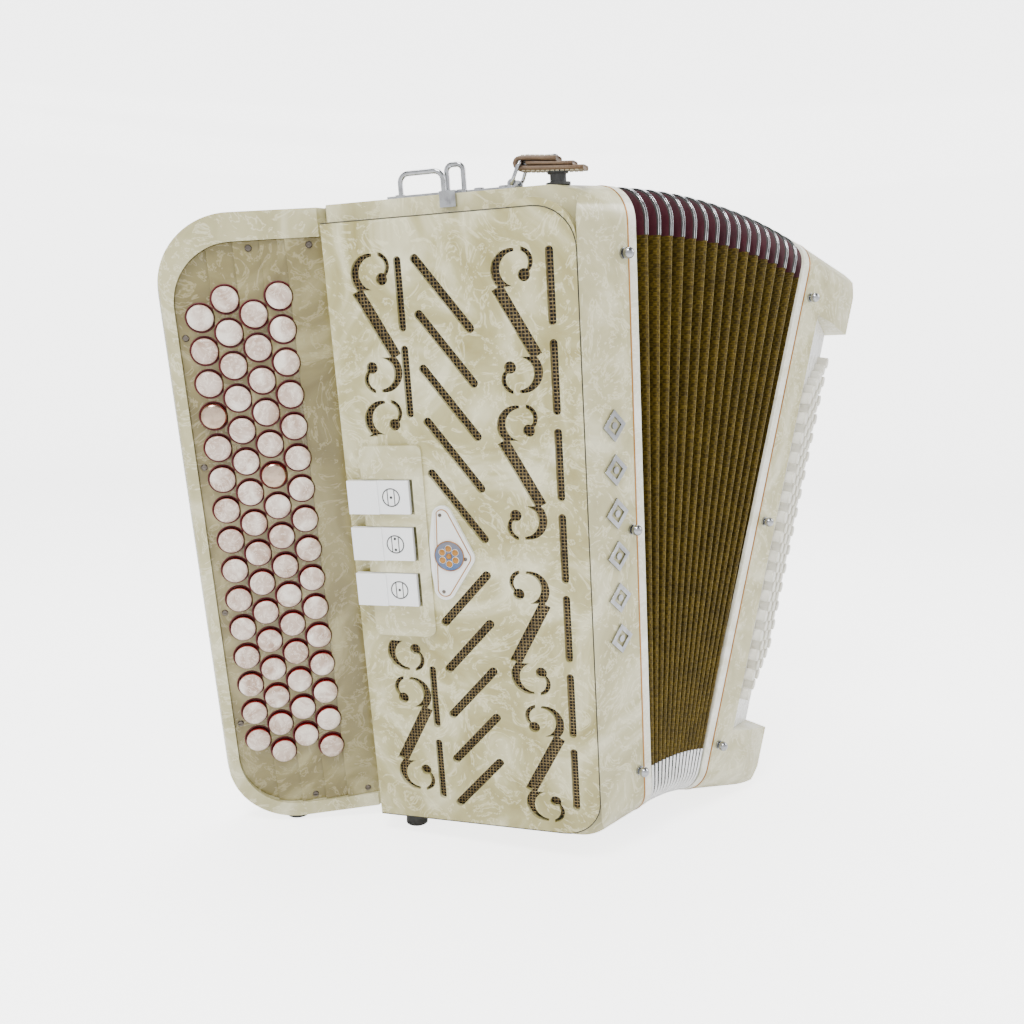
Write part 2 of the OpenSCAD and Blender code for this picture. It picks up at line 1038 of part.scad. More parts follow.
treble_casing();
treble_gold_line();
treble_bellows_frame();
treble_soundboard();
treble_reed_blocks();
treble_grille();
grille_mesh();
register_block();
register_switch_1();
register_switch_2();
register_switch_3();
emblem_plate();
panel_ornaments();
fingerboard_housing();
fingerboard_plate();
fingerboard_screws();
treble_buttons_a();
treble_buttons_b();
treble_buttons_c();
treble_buttons_d();
reference_button_a();
reference_button_c();
treble_pins();
strap_bracket();
bellows_strap_plate();
bellows_strap();
bellows_strap_stud();
treble_feet();
bellows_fold(1);  // fold_1
bellows_fold(2);  // fold_2
bellows_fold(3);  // fold_3
bellows_fold(4);  // fold_4
bellows_fold(5);  // fold_5
bellows_fold(6);  // fold_6
bellows_fold(7);  // fold_7
bellows_fold(8);  // fold_8
bellows_fold(9);  // fold_9
bellows_fold(10);  // fold_10
bellows_fold(11);  // fold_11
bellows_fold(12);  // fold_12
bellows_fold(13);  // fold_13
bellows_fold(14);  // fold_14
bellows_fold(15);  // fold_15
bass_bellows_frame();
bass_gold_line();
bass_casing();
bass_button_board();
bass_button_row(1);  // bass_buttons_1
bass_button_row(2);  // bass_buttons_2
bass_button_row(3);  // bass_buttons_3
bass_button_row(4);  // bass_buttons_4
bass_button_row(5);  // bass_buttons_5
bass_button_row(6);  // bass_buttons_6
bass_pins();
hand_strap();
strap_wheel();
air_button();
bass_feet();
bass_reed_blocks();
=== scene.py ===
"""Looks of the chromatic button accordion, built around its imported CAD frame.

Sizes are in millimetres in the frames of reference of the two boxes, the same ones that the
CAD uses, and turn into metres where a mesh is made.
"""
import math
import random

import bpy
import numpy as np
from mathutils import Matrix, Vector


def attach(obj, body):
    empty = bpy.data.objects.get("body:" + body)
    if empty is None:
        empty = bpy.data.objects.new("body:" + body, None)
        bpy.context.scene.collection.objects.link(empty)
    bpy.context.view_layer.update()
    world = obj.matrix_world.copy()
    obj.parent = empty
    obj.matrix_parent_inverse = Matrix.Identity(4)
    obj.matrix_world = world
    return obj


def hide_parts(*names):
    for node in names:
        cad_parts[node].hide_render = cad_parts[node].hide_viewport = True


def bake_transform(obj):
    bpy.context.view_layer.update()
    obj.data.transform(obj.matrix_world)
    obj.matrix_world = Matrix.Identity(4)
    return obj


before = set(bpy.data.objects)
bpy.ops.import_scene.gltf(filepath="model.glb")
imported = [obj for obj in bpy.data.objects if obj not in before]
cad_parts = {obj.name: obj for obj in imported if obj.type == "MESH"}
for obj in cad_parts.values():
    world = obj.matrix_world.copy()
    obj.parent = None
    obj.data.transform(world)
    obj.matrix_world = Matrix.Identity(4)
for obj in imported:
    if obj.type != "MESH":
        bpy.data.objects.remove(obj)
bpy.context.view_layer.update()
MM = 0.001
random.seed(7)

# ---------- sizes shared with the CAD ----------
TREBLE_LEAN = 6.0
ORIGIN = (0.0, -3.6, 18.5)
BOX_H = 380.0
Y_FRONT = -95.0
Y_BACK = 103.0
CORNER_R = 20.0
FRAME_W = 6.5
FOLD_T = 2.6
FOLD_GAP = 0.3
END_GAP = 0.6
FOLD_ANGLE = 1.268
FOLD_COUNT = 15
BASS_THICK = 74.0
BUTTON_PITCH = 19.0
ROW_GAP = 15.1
ROW_STEP = 2.0
ROW_COUNTS = {"d": 16, "c": 15, "b": 16, "a": 15}
MARKED = {"a": 11, "c": 9}
BOARD_TURN = 28.4
GRILLE_TURN = 58.4
BASS_BOARD_TURN = 68.0
BASS_PITCH = 13.9
BASS_ROW_GAP = 8.5
BASS_COLUMNS = 16
FIRST_BASS_ROW = (6.0, 71.0)
HARDWARE_Y = 20.0
STRAP_RING = (-36.6, HARDWARE_Y, BOX_H + 2.4)


# ---------- frames of reference ----------
def shift(x, y, z):
    return Matrix.Translation((x * MM, y * MM, z * MM))


def turn(degrees, axis):
    return Matrix.Rotation(math.radians(degrees), 4, axis)


def hinge_x(k):
    return FRAME_W + FOLD_GAP / 2 + (k - 1) * (FOLD_T + FOLD_GAP)


def after_hinge(k):
    """Frame that follows k bellows hinges, as in the CAD."""
    m = TREBLE.copy()
    for j in range(1, k + 1):
        m = m @ shift(hinge_x(j), 0, 0) @ turn(FOLD_ANGLE, "Y") @ shift(-hinge_x(j), 0, 0)
    return m


TREBLE = shift(*ORIGIN) @ turn(-TREBLE_LEAN, "Y")
CLOSED = 2 * FRAME_W + FOLD_COUNT * (FOLD_T + FOLD_GAP) + FOLD_GAP + END_GAP
BASS = after_hinge(FOLD_COUNT + 1) @ shift(CLOSED, 0, 0)
GRILLE = TREBLE @ shift(-40, Y_FRONT, 0) @ turn(-GRILLE_TURN, "Z")
BOARD = TREBLE @ shift(-128.8, 57.7, 0) @ turn(-BOARD_TURN, "Z")
BASS_BOARD = BASS @ shift(22, Y_FRONT + 5, 0) @ turn(-BASS_BOARD_TURN, "Z")


def placed(matrix, points):
    """Points in millimetres of a frame, as metres of the row frame."""
    p = np.asarray(points, float) * MM
    m = np.array(matrix)
    return p @ m[:3, :3].T + m[:3, 3]


# ---------- material helpers ----------
def material(name):
    m = bpy.data.materials.new(name)
    m.use_nodes = True
    return m, m.node_tree, m.node_tree.nodes["Principled BSDF"]


def add(tree, kind, **settings):
    n = tree.nodes.new(kind)
    for key, value in settings.items():
        if key in n.inputs:
            n.inputs[key].default_value = value
        else:
            setattr(n, key, value)
    return n


def place_coords(tree):
    return add(tree, "ShaderNodeTexCoord").outputs["Object"]


def noise(tree, scale, detail=3.0, distortion=0.0, rough=0.5):
    n = add(tree, "ShaderNodeTexNoise", Scale=scale, Detail=detail, Distortion=distortion, Roughness=rough)
    tree.links.new(place_coords(tree), n.inputs["Vector"])
    return n.outputs["Fac"]


def ramp(tree, source, stops):
    r = add(tree, "ShaderNodeValToRGB")
    while len(r.color_ramp.elements) < len(stops):
        r.color_ramp.elements.new(0.5)
    for e, (place, colour) in zip(r.color_ramp.elements, stops):
        e.position = place
        e.color = (*colour, 1)
    tree.links.new(source, r.inputs["Fac"])
    return r.outputs["Color"]


def blend_colours(tree, factor, a, b, mode="MIX"):
    m = add(tree, "ShaderNodeMix", data_type="RGBA", blend_type=mode)
    for socket, value in ((m.inputs[0], factor), (m.inputs[6], a), (m.inputs[7], b)):
        if isinstance(value, bpy.types.NodeSocket):
            tree.links.new(value, socket)
        elif isinstance(value, (tuple, list)):
            socket.default_value = (*value, 1)
        else:
            socket.default_value = value
    return m.outputs[2]


def calc(tree, kind, a, b=0.5):
    m = add(tree, "ShaderNodeMath", operation=kind)
    for socket, value in ((m.inputs[0], a), (m.inputs[1], b)):
        if isinstance(value, bpy.types.NodeSocket):
            tree.links.new(value, socket)
        else:
            socket.default_value = value
    return m.outputs[0]


def spread(tree, source, low, high):
    m = add(tree, "ShaderNodeMapRange")
    m.inputs["To Min"].default_value = low
    m.inputs["To Max"].default_value = high
    tree.links.new(source, m.inputs["Value"])
    return m.outputs["Result"]


def bump(tree, shader, height, strength, distance):
    b = add(tree, "ShaderNodeBump", Strength=strength, Distance=distance)
    tree.links.new(height, b.inputs["Height"])
    tree.links.new(b.outputs["Normal"], shader.inputs["Normal"])


# ---------- materials ----------
def pearl(name, deep, mid, light, size=1.0, coat=0.25):
    """Pearl celluloid: cloudy layers with pale curling streaks under a clear gloss."""
    m, t, b = material(name)
    cloud = ramp(t, noise(t, 16 / size, 4, 2.2), [(0.3, deep), (0.5, mid), (0.68, light)])
    curls = noise(t, 42 / size, 3, 4.5, 0.62)
    streak = ramp(t, curls, [(0.53, (0, 0, 0)), (0.585, (1, 1, 1)), (0.64, (0, 0, 0))])
    sheen = tuple(min(1, c * 1.12 + 0.06) for c in light)
    t.links.new(blend_colours(t, calc(t, "MULTIPLY", streak, 0.55), cloud, sheen), b.inputs["Base Color"])
    t.links.new(spread(t, noise(t, 60, 2), 0.16, 0.3), b.inputs["Roughness"])
    bump(t, b, noise(t, 220, 2), 0.03, 0.001)
    b.inputs["Coat Weight"].default_value = coat
    b.inputs["Coat Roughness"].default_value = 0.06
    return m


def gloss(name, colour, dirt, rough=(0.18, 0.32), dirt_amount=0.35):
    """Smooth plastic with faint yellowing and hand wear."""
    m, t, b = material(name)
    cloud = ramp(t, noise(t, 30, 4, 0.6), [(0.35, (0, 0, 0)), (0.7, (1, 1, 1))])
    share = calc(t, "MULTIPLY", cloud, dirt_amount)
    t.links.new(blend_colours(t, share, colour, dirt), b.inputs["Base Color"])
    t.links.new(spread(t, noise(t, 120, 3), *rough), b.inputs["Roughness"])
    bump(t, b, noise(t, 500, 2), 0.04, 0.0005)
    b.inputs["Coat Weight"].default_value = 0.3
    return m


def metal(name, colour, tarnish, rough=(0.08, 0.2), tarnish_amount=0.3):
    """Polished or dull metal with cloudy tarnish."""
    m, t, b = material(name)
    b.inputs["Metallic"].default_value = 1.0
    cloud = ramp(t, noise(t, 130, 4, 0.8), [(0.45, (0, 0, 0)), (0.75, (1, 1, 1))])
    share = calc(t, "MULTIPLY", cloud, tarnish_amount)
    t.links.new(blend_colours(t, share, colour, tarnish), b.inputs["Base Color"])
    t.links.new(spread(t, noise(t, 300, 3), *rough), b.inputs["Roughness"])
    bump(t, b, noise(t, 900, 2), 0.05, 0.0003)
    return m


def leather(name, colour, dark, grain=900):
    """Grained leather, rubber and cloth, also the red rings of painted reflection round the buttons; the
    crease lines between small cells are darkened with painted shade.
    """
    m, t, b = material(name)
    v = add(t, "ShaderNodeTexVoronoi", Scale=grain, feature="DISTANCE_TO_EDGE")
    t.links.new(place_coords(t), v.inputs["Vector"])
    cloud = noise(t, 70, 4, 0.5)
    shade = blend_colours(t, cloud, dark, colour)
    # dark crease lines along the cell edges are painted shade
    painted_crease_shade = ramp(t, v.outputs["Distance"], [(0.0, (0.45, 0.45, 0.45)), (0.12, (1, 1, 1))])
    t.links.new(blend_colours(t, 0.6, shade, painted_crease_shade, "MULTIPLY"), b.inputs["Base Color"])
    t.links.new(spread(t, noise(t, 200, 3), 0.38, 0.6), b.inputs["Roughness"])
    cells = calc(t, "MULTIPLY", v.outputs["Distance"], 0.8)
    height = calc(t, "ADD", cells, calc(t, "MULTIPLY", noise(t, 260), 0.5))
    bump(t, b, height, 0.35, 0.0006)
    return m


def brocade(name, gold, dark):
    """Metallic bellows cloth: fine weave with rows of darker squares."""
    m, t, b = material(name)
    coords = place_coords(t)
    check = add(t, "ShaderNodeTexChecker", Scale=390.0)
    t.links.new(coords, check.inputs["Vector"])
    thread = add(t, "ShaderNodeTexWave", Scale=210.0, Distortion=0.6, bands_direction="Z")
    cross = add(t, "ShaderNodeTexWave", Scale=210.0, Distortion=0.6, bands_direction="DIAGONAL")
    for w in (thread, cross):
        t.links.new(coords, w.inputs["Vector"])
    weave = calc(t, "MULTIPLY", thread.outputs["Fac"], cross.outputs["Fac"])
    patch = ramp(t, noise(t, 90, 3), [(0.35, (0.55, 0.55, 0.55)), (0.65, (1, 1, 1))])
    pattern = calc(t, "MULTIPLY", check.outputs["Fac"], 0.55)
    base = blend_colours(t, pattern, gold, dark)
    lit = blend_colours(t, calc(t, "MULTIPLY", weave, 0.45), base, tuple(min(1, c * 1.8) for c in gold))
    t.links.new(blend_colours(t, 0.7, lit, patch, "MULTIPLY"), b.inputs["Base Color"])
    b.inputs["Metallic"].default_value = 0.25
    b.inputs["Specular IOR Level"].default_value = 0.25
    t.links.new(spread(t, noise(t, 400, 2), 0.45, 0.7), b.inputs["Roughness"])
    bump(t, b, weave, 0.5, 0.0005)
    return m


def wood(name, pale, brown):
    """Plain board with long waving grain."""
    m, t, b = material(name)
    w = add(t, "ShaderNodeTexWave", Scale=9.0, Distortion=5.0, bands_direction="Y")
    t.links.new(place_coords(t), w.inputs["Vector"])
    t.links.new(blend_colours(t, w.outputs["Fac"], pale, brown), b.inputs["Base Color"])
    t.links.new(spread(t, noise(t, 200), 0.5, 0.7), b.inputs["Roughness"])
    bump(t, b, w.outputs["Fac"], 0.15, 0.0005)
    return m


CREAM = pearl("pearl_cream", (0.3, 0.26, 0.09), (0.42, 0.38, 0.175), (0.66, 0.63, 0.4))
# the fingerboard plate's pearl is a darker copy of the cream pearl: painted shade of the plate among the
# buttons
SHADED_BOARD_PEARL = pearl("pearl_board_painted_shade", (0.15, 0.12, 0.04), (0.21, 0.175, 0.065), (0.34, 0.3, 0.14))
RIM_PEARL = pearl("pearl_rim", (0.38, 0.345, 0.165), (0.49, 0.455, 0.25), (0.68, 0.65, 0.44))
FRAME_WHITE = pearl("pearl_white", (0.64, 0.62, 0.46), (0.74, 0.72, 0.58), (0.86, 0.85, 0.76), 0.6)
BUTTON_TOP = pearl("button_pearl", (0.4, 0.26, 0.19), (0.6, 0.47, 0.39), (0.86, 0.78, 0.69), 0.4)
BUTTON_SIDE = gloss("button_side", (0.3, 0.012, 0.015), (0.4, 0.05, 0.045))
BUTTON_MARK = metal("button_glitter", (0.55, 0.42, 0.32), (0.28, 0.18, 0.12), (0.1, 0.3), 0.9)
SWITCH = gloss("switch_white", (0.93, 0.94, 0.95), (0.85, 0.85, 0.82), (0.14, 0.25), 0.25)
BASS_WHITE = gloss("bass_white", (0.82, 0.82, 0.8), (0.7, 0.68, 0.58), (0.2, 0.34), 0.3)
BASS_BUTTON = gloss("bass_button", (0.8, 0.78, 0.68), (0.66, 0.62, 0.48), (0.2, 0.34), 0.4)
GOLD = metal("gold_line", (0.4, 0.19, 0.05), (0.25, 0.11, 0.03), (0.25, 0.45), 0.6)
CHROME = metal("chrome", (0.42, 0.43, 0.45), (0.12, 0.115, 0.11), (0.06, 0.18), 0.6)
CORNER_METAL = metal("corner_metal", (0.8, 0.8, 0.81), (0.4, 0.39, 0.38), (0.18, 0.34), 0.4)
DARK_STEEL = metal("dark_steel", (0.16, 0.14, 0.12), (0.05, 0.04, 0.04), (0.3, 0.5), 0.5)
WIRE = metal("mesh_wire", (0.3, 0.23, 0.12), (0.05, 0.035, 0.02), (0.3, 0.5), 0.55)
BLACK = gloss("black_ink", (0.012, 0.012, 0.014), (0.04, 0.04, 0.04), (0.3, 0.5))
RUBBER = leather("black_rubber", (0.03, 0.03, 0.03), (0.012, 0.012, 0.012), 1500)
CLOTH = brocade("bellows_cloth", (0.085, 0.056, 0.003), (0.014, 0.008, 0.001))
RIDGE = brocade("ridge_tape", (0.26, 0.19, 0.03), (0.15, 0.1, 0.012))
DARK_CLOTH_AND_SHADE = leather("dark_cloth_and_painted_shade", (0.014, 0.01, 0.006), (0.006, 0.004, 0.003), 1400)
MAROON = leather("maroon_leather", (0.07, 0.003, 0.012), (0.018, 0.002, 0.005), 1100)
# the red of the rings round the buttons is painted reflection and shade of the buttons' red sides
RED_REFLECTION_AND_SHADE = leather("painted_red_reflection", (0.14, 0.006, 0.008), (0.05, 0.003, 0.004), 1600)
BROWN = leather("brown_leather", (0.2, 0.125, 0.07), (0.08, 0.045, 0.022), 1000)
THREAD = gloss("stitch_thread", (0.62, 0.55, 0.4), (0.4, 0.34, 0.22), (0.6, 0.8))
BIRCH = wood("birch", (0.62, 0.46, 0.28), (0.45, 0.3, 0.16))
ENAMEL = gloss("enamel_white", (0.85, 0.85, 0.81), (0.6, 0.6, 0.54), (0.12, 0.2), 0.2)
BLUE = gloss("enamel_blue", (0.03, 0.09, 0.24), (0.3, 0.22, 0.08), (0.12, 0.25), 0.6)
FLOOR = gloss("studio_floor", (0.9, 0.9, 0.9), (0.88, 0.88, 0.88), (0.6, 0.7), 0.2)


# ---------- mesh helpers ----------
def piece(name, points, faces, materials, body, face_materials=None, smooth=True):
    """A mesh object that rides on a body; points are metres of the row frame."""
    me = bpy.data.meshes.new(name)
    me.from_pydata([tuple(p) for p in points], [], [tuple(f) for f in faces])
    for m in materials:
        me.materials.append(m)
    if face_materials is not None:
        me.polygons.foreach_set("material_index", np.asarray(face_materials, np.int32))
    me.polygons.foreach_set("use_smooth", np.full(len(me.polygons), smooth))
    me.update()
    o = bpy.data.objects.new(name, me)
    bpy.context.scene.collection.objects.link(o)
    if body:
        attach(o, body)
    return o


class Parts:
    """Collects the faces of one piece before it is made."""

    def __init__(self):
        self.points, self.faces, self.kinds = [], [], []
        self.count = 0

    def add(self, points, faces, kind=0):
        self.points.append(np.asarray(points, float))
        self.faces += [tuple(i + self.count for i in f) for f in faces]
        self.kinds += [kind] * len(faces) if isinstance(kind, int) else list(kind)
        self.count += len(points)

    def wire(self, matrix, path, radius, segments, kind=0, closed=False):
        """Round wire along a path in millimetres of a frame."""
        points, faces = tube(placed(matrix, path), radius * MM, segments, closed)
        self.add(points, faces, kind)

    def make(self, name, materials, body, smooth=True, slot=None):
        points = np.vstack(self.points)
        return piece(name, points, self.faces, materials, body, self.kinds, smooth)


def lathe(profile, segments=28, caps=True):
    """Turned solid about local X: profile holds (x, radius). Returns points and faces."""
    points, faces = [], []
    for x, r in profile:
        for i in range(segments):
            a = 2 * math.pi * i / segments
            points.append((x, r * math.cos(a), r * math.sin(a)))
    for j in range(len(profile) - 1):
        for i in range(segments):
            n = (i + 1) % segments
            faces.append((j * segments + i, j * segments + n, (j + 1) * segments + n, (j + 1) * segments + i))
    if caps:
        faces.append(tuple(range(segments))[::-1])
        last = (len(profile) - 1) * segments
        faces.append(tuple(range(last, last + segments)))
    return np.array(points), faces


def tube(path, radius, segments=8, closed=False):
    """Round wire along a path of points."""
    path = np.asarray(path, float)
    n = len(path)
    points, faces = [], []
    for i in range(n):
        before = path[(i - 1) % n] if closed or i > 0 else path[i]
        after = path[(i + 1) % n] if closed or i < n - 1 else path[i]
        along = after - before
        along /= np.linalg.norm(along)
        side = np.cross(along, (0.3, 0.9, 0.31))
        side /= np.linalg.norm(side)
        up = np.cross(along, side)
        for j in range(segments):
            a = 2 * math.pi * j / segments
            points.append(path[i] + radius * (math.cos(a) * side + math.sin(a) * up))
    for i in range(n if closed else n - 1):
        k = (i + 1) % n
        for j in range(segments):
            m = (j + 1) % segments
            faces.append((i * segments + j, i * segments + m, k * segments + m, k * segments + j))
    if not closed:
        faces.append(tuple(range(segments))[::-1])
        faces.append(tuple(range((n - 1) * segments, n * segments)))
    return np.array(points), faces


def grid_faces(rows, columns, wrap=False):
    """Square faces between the rows of a grid of points."""
    faces = []
    for i in range(rows - 1):
        for j in range(columns if wrap else columns - 1):
            n = (j + 1) % columns
            faces.append((i * columns + j, i * columns + n, (i + 1) * columns + n, (i + 1) * columns + j))
    return faces


# ---------- CAD nodes that stay ----------
def dress(node, mat, bevel=0.5, segments=2, angle=35):
    """Gives a CAD node its material, softened edges and smooth shading."""
    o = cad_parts[node]
    o.data.materials.clear()
    o.data.materials.append(mat)
    if "custom_normal" in o.data.attributes:
        o.data.attributes.remove(o.data.attributes["custom_normal"])
    o.data.polygons.foreach_set("use_smooth", np.full(len(o.data.polygons), True))
    weld = o.modifiers.new("Weld", "WELD")
    weld.merge_threshold = 0.000002
    if bevel:
        b = o.modifiers.new("Bevel", "BEVEL")
        b.width = bevel * MM
        b.segments = segments
        b.limit_method = "ANGLE"
        b.angle_limit = math.radians(angle)
        b.harden_normals = True
    normals = o.modifiers.new("Normals", "WEIGHTED_NORMAL")
    normals.keep_sharp = True


def dress_frame():
    """The CAD meshes that keep their shape get materials and small bevels."""
    for node, mat, bevel in (
            ("treble_casing", RIM_PEARL, 1.6), ("treble_gold_line", GOLD, 0.15),
            ("treble_bellows_frame", FRAME_WHITE, 0.4), ("treble_soundboard", BIRCH, 0.3),
            ("treble_reed_blocks", BIRCH, 0.3), ("treble_grille", CREAM, 0.5),
            ("register_block", RIM_PEARL, 0.6), ("register_switch_1", SWITCH, 0.5),
            ("register_switch_2", SWITCH, 0.5), ("register_switch_3", SWITCH, 0.5),
            ("emblem_plate", ENAMEL, 0.35), ("panel_ornaments", CHROME, 0.25),
            ("fingerboard_housing", RIM_PEARL, 2.5), ("fingerboard_plate", SHADED_BOARD_PEARL, 0.3),
            ("fingerboard_screws", DARK_STEEL, 0.08), ("treble_pins", CHROME, 0.1),
            ("strap_bracket", CHROME, 0.2), ("bellows_strap_plate", CHROME, 0.2),
            ("bellows_strap_stud", RUBBER, 0.5), ("treble_feet", RUBBER, 0.5),
            ("bass_bellows_frame", FRAME_WHITE, 0.4), ("bass_gold_line", GOLD, 0.15),
            ("bass_casing", RIM_PEARL, 2.5), ("bass_button_board", BASS_WHITE, 0.3),
            ("bass_pins", CHROME, 0.1), ("strap_wheel", CHROME, 0.3), ("air_button", BASS_WHITE, 0.5),
            ("bass_feet", RUBBER, 0.5), ("bass_reed_blocks", BIRCH, 0.3)):
        dress(node, mat, bevel)


# ---------- bellows ----------
UPPER_CORNER = 27.0
LOWER_CORNER = 34.0
ARC_STEPS = 10
PIPING_R = 0.34
PIPING_OFFSET = 0.85
PIPING_INSET = 0.55
CLOTH_ZONE, UPPER_ZONE, LOWER_ZONE = 0, 1, 2


def ring_stations():
    """Stations around a pleat: (side, place) on the straights, (arc, angle, centre) in corners."""
    r = CORNER_R
    front = [r, 27, LOWER_CORNER]
    front += list(np.linspace(LOWER_CORNER, BOX_H - UPPER_CORNER, 24)[1:])
    front.append(BOX_H - r)
    low, high = Y_FRONT + r, Y_BACK - r
    top = [low, Y_FRONT + UPPER_CORNER] + list(np.linspace(low + 14, high - 14, 12))
    top += [Y_BACK - UPPER_CORNER, high]
    bottom = [low, Y_FRONT + LOWER_CORNER] + list(np.linspace(low + 20, high - 20, 11))
    bottom += [Y_BACK - LOWER_CORNER, high]
    stations = []
    for side, places, first_angle, centre in (
            ("front", front, 180, (low, BOX_H - r)), ("top", top, 90, (high, BOX_H - r)),
            ("back", front[::-1], 0, (high, r)), ("bottom", bottom[::-1], -90, (low, r))):
        stations += [(side, place) for place in places]
        stations += [("arc", first_angle - a, centre) for a in np.linspace(0, 90, ARC_STEPS)[1:-1]]
    return stations


STATIONS = ring_stations()


def ring(inset):
    """(y, z) of every station on the outline drawn in by inset."""
    out = []
    r = max(CORNER_R - inset, 0.6)
    for s in STATIONS:
        if s[0] == "front":
            out.append((Y_FRONT + inset, s[1]))
        elif s[0] == "back":
            out.append((Y_BACK - inset, s[1]))
        elif s[0] == "top":
            out.append((s[1], BOX_H - inset))
        elif s[0] == "bottom":
            out.append((s[1], inset))
        else:
            a = math.radians(s[1])
            out.append((s[2][0] + r * math.cos(a), s[2][1] + r * math.sin(a)))
    return np.array(out)


def zone_between(i):
    """Which cover the pleat has between station i and the next."""
    a, b = OUTER[i], OUTER[(i + 1) % len(OUTER)]
    y, z = (a + b) / 2
    side = min(y - Y_FRONT, Y_BACK - y)
    if z > BOX_H - UPPER_CORNER and side < UPPER_CORNER:
        return UPPER_ZONE
    if z < LOWER_CORNER and side < LOWER_CORNER:
        return LOWER_ZONE
    return CLOTH_ZONE


OUTER = ring(0)
ZONES = [zone_between(i) for i in range(len(STATIONS))]


def ridge_frame(k):
    """Frame and middle plane of ridge k; 0 and 16 are the frames of the two boxes."""
    if k == 0:
        return after_hinge(0), FRAME_W - FOLD_T / 2
    if k == FOLD_COUNT + 1:
        return after_hinge(k), CLOSED - FRAME_W + FOLD_T / 2
    return after_hinge(k), (hinge_x(k) + hinge_x(k + 1)) / 2


def swept(matrix, x_mid, profile):
    """Rows of points of a profile of (x offset, inset) carried around the ring."""
    rows = []
    for dx, inset in profile:
        yz = ring(inset)
        x = np.full(len(yz), x_mid + dx)
        rows.append(placed(matrix, np.column_stack([x, yz])))
    return rows


def bellows_ridge(k):
    """Cloth-covered edge of one pleat with its piping and metal corners."""
    matrix, x_mid = ridge_frame(k)
    parts = Parts()
    profile = [(-1.28, 9), (-1.25, 2.2), (-1.05, 1.2), (-0.5, 0.75), (0.1, 0.62),
               (0.55, 0.6), (1.0, 0.75), (1.24, 1.5), (1.28, 9)]
    rows = swept(matrix, x_mid, profile)
    n = len(STATIONS)
    cloth, edge_tape, piping, backing, strip_metal = range(5)
    kinds = []
    for j in range(len(profile) - 1):
        face = edge_tape if j in (5, 6) else cloth
        kinds += [face if zone == CLOTH_ZONE else backing for zone in ZONES]
    parts.add(np.vstack(rows), grid_faces(len(profile), n, wrap=True), kinds)
    # twin piping over the upper corners, one broad strip over the lower ones
    for start, stop, zone in zone_runs():
        if zone == CLOTH_ZONE:
            continue
        index = [i % n for i in range(start, stop + 1)]
        if zone == UPPER_ZONE:
            for dx in (-PIPING_OFFSET, PIPING_OFFSET):
                yz = ring(PIPING_INSET)[index]
                path = np.column_stack([np.full(len(yz), x_mid + dx), yz])
                parts.wire(matrix, path, PIPING_R, 8, piping)
        else:
            strip = [(-1.05, 5), (-1.05, 1.1), (-0.8, 0.45), (0, 0.25), (0.8, 0.45), (1.05, 1.1), (1.05, 5)]
            rows = [r[index] for r in swept(matrix, x_mid, strip)]
            parts.add(np.vstack(rows), grid_faces(len(strip), len(index)), strip_metal)
    o = parts.make(f"bellows_ridge_{k}", [CLOTH, RIDGE, CHROME, DARK_CLOTH_AND_SHADE, CORNER_METAL],
                   f"fold_{k}_body", slot="fold_cloth")
    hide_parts(f"fold_{k}")


def zone_runs():
    """Runs of stations that share one cover, as (first, last, zone)."""
    n = len(ZONES)
    first = next(i for i in range(n) if ZONES[i] != ZONES[i - 1])
    runs, start = [], first
    for i in range(first + 1, first + n + 1):
        if ZONES[i % n] != ZONES[start % n]:
            runs.append((start, i, ZONES[start % n]))
            start = i
    return runs


VALLEY = 20.0
WEB_EDGE = 1.6
WEB_STEPS = 5


def bellows_web(k):
    """Folding cover between ridge k and the next, with its valley inside."""
    m_a, x_a = ridge_frame(k)
    m_b, x_b = ridge_frame(k + 1)
    edge = FOLD_T / 2 - 0.1
    n = len(STATIONS)
    rows, weights = [], []
    for step in range(2 * WEB_STEPS + 1):
        # share goes 0 at ridge k, 0.5 in the valley and 1 at ridge k + 1
        share = step / (2 * WEB_STEPS)
        depth = 1 - abs(2 * share - 1)
        inset = WEB_EDGE + (VALLEY - WEB_EDGE) * depth ** 0.9
        yz = ring(inset)
        a = placed(m_a, np.column_stack([np.full(n, x_a + edge), yz]))
        b = placed(m_b, np.column_stack([np.full(n, x_b - edge), yz]))
        rows.append(a * (1 - share) + b * share)
        weights.append(np.full(n, share))
    # the deep inside of the cloth stretches gets the dark cloth as painted shade in the valley, and the lower
    # corners are dark too
    kinds = []
    for j in range(2 * WEB_STEPS):
        inside = 2 <= j < 2 * WEB_STEPS - 2
        kinds += [LOWER_ZONE if inside and zone == CLOTH_ZONE else zone for zone in ZONES]
    o = piece(f"bellows_web_{k}", np.vstack(rows), grid_faces(2 * WEB_STEPS + 1, n, wrap=True),
              [CLOTH, MAROON, DARK_CLOTH_AND_SHADE], None, kinds)
    weight = np.concatenate(weights)
    if k == FOLD_COUNT:
        # the last web lies between the chain's end and the bass box, which turns on the treble box
        weight = (FOLD_COUNT + weight) / (FOLD_COUNT + 1)
    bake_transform(o)


def build_bellows():
    """All the ridges, then all the webs between them."""
    for k in range(1, FOLD_COUNT + 1):
        bellows_ridge(k)
    for k in range(0, FOLD_COUNT + 1):
        bellows_web(k)


# ---------- treble buttons ----------
def button_points(depth):
    """Domed cap on a coloured body; local X goes into the board."""
    profile = [(-0.05, 0.01), (0.0, 2.4), (0.12, 4.4), (0.42, 5.9), (0.95, 6.9), (1.6, 7.35), (2.3, 7.48),
               (2.9, 7.4), (3.05, 7.1), (3.2, 7.05), (4.2, 7.1), (depth, 7.1)]
    points, faces = lathe(profile, 32)
    rings = len(profile) - 1
    kinds = []
    for j in range(rings):
        kinds += [0 if profile[j][0] < 1.5 else 1] * 32
    return points, faces, kinds + [0, 1]


